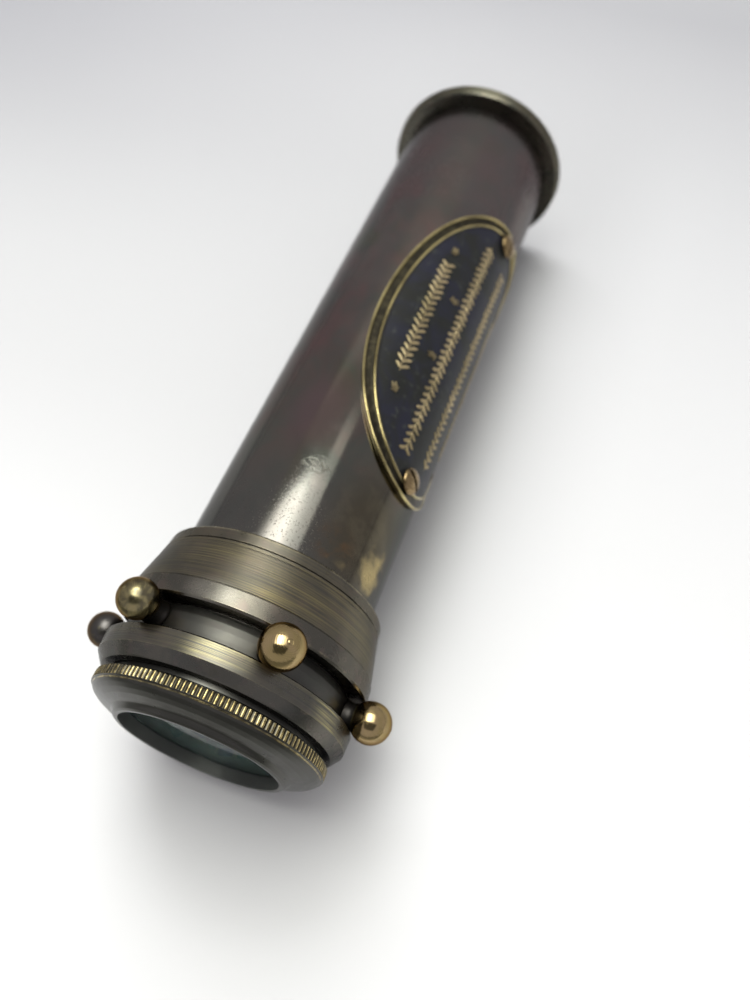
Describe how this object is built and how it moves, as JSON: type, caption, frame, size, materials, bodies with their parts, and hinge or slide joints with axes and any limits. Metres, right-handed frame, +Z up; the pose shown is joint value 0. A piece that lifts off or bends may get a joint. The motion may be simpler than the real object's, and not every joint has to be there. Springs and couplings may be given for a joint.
{
  "type": "kaleidoscope",
  "caption": "Brass kaleidoscope: dark tube with a curved oval plate, fixed collar, turning drum with ball pegs, knurled screw-on window bezel and a flanged eye cap.",
  "frame": {"origin": "centre of the window rim's front plane, on the tube's axis", "axes": "+Y along the tube's axis from the window towards the eye end; +Z up when the scope lies on two of its ball pegs; +X to the right seen from the window end"},
  "size_m": [0.055, 0.1549, 0.0484],
  "materials": {
    "dark_brass": "dark brown patina over brass, semi-gloss, faint purple heat tint, worn by the collar",
    "aged_brass": "turned brass, aged, brushed bands and brown patina in the grooves",
    "knurl_brass": "turned and knurled brass, bright crests, dark roots",
    "bright_brass": "polished brass with fine turning rings",
    "plain_brass": "machined brass, satin",
    "plate_metal": "curved brass plate with a blackened field and polished raised borders",
    "screw_brass": "polished copper-coloured brass",
    "window_glass": "clear glass, dark behind",
    "clear_glass": "clear polished glass",
    "mirror": "front-silvered glass strip",
    "foam": "soft black packing foam",
    "black_card": "matt black card",
    "red_glass": "transparent red glass",
    "amber_glass": "transparent amber glass",
    "green_glass": "transparent green glass",
    "blue_glass": "transparent blue glass"
  },
  "bodies": {
    "barrel": {"body_tube": "dark_brass", "eye_cap": "aged_brass", "eye_glass": "clear_glass", "eye_glass_ring": "plain_brass", "mirror_lower": "mirror", "mirror_left": "mirror", "mirror_right": "mirror", "foam_packing": "foam", "card_sleeve": "black_card", "prism_mask": "black_card", "eye_mask": "black_card", "bearing_sleeve": "plain_brass", "collar": "aged_brass", "nameplate": "plate_metal", "nameplate_screws": "screw_brass"},
    "object_drum": {"drum": "aged_brass", "ball_pegs": "bright_brass", "rear_glass": "clear_glass"},
    "window_pack": {"window_glass": "window_glass", "cell_spacer": "plain_brass"},
    "bezel": {"knurled_bezel": "knurl_brass"},
    "loose_glass": {"beads_red": "red_glass", "chips_amber": "amber_glass", "crystals_green": "green_glass", "rods_blue": "blue_glass"}
  },
  "joints": [
    {"name": "drum_turn", "type": "hinge", "parent": "barrel", "child": "object_drum", "pos_m": [0, 0.01355, 0], "axis": [0, 1, 0], "continuous": true},
    {"name": "bezel_lift", "type": "slide", "parent": "object_drum", "child": "window_pack", "axis": [0, -1, 0], "range_m": [0, 0.0025]},
    {"name": "bezel_turn", "type": "hinge", "parent": "window_pack", "child": "bezel", "pos_m": [0, 0.004, 0], "axis": [0, -1, 0], "range_deg": [0, 1170]},
    {"name": "glass_tumble", "type": "hinge", "parent": "object_drum", "child": "loose_glass", "pos_m": [0, 0.0063, 0], "axis": [0, 1, 0], "continuous": true}
  ],
  "couplings": [
    {"joint": "bezel_lift", "follows": "bezel_turn", "m_per_rad": 0.00011937}
  ]
}
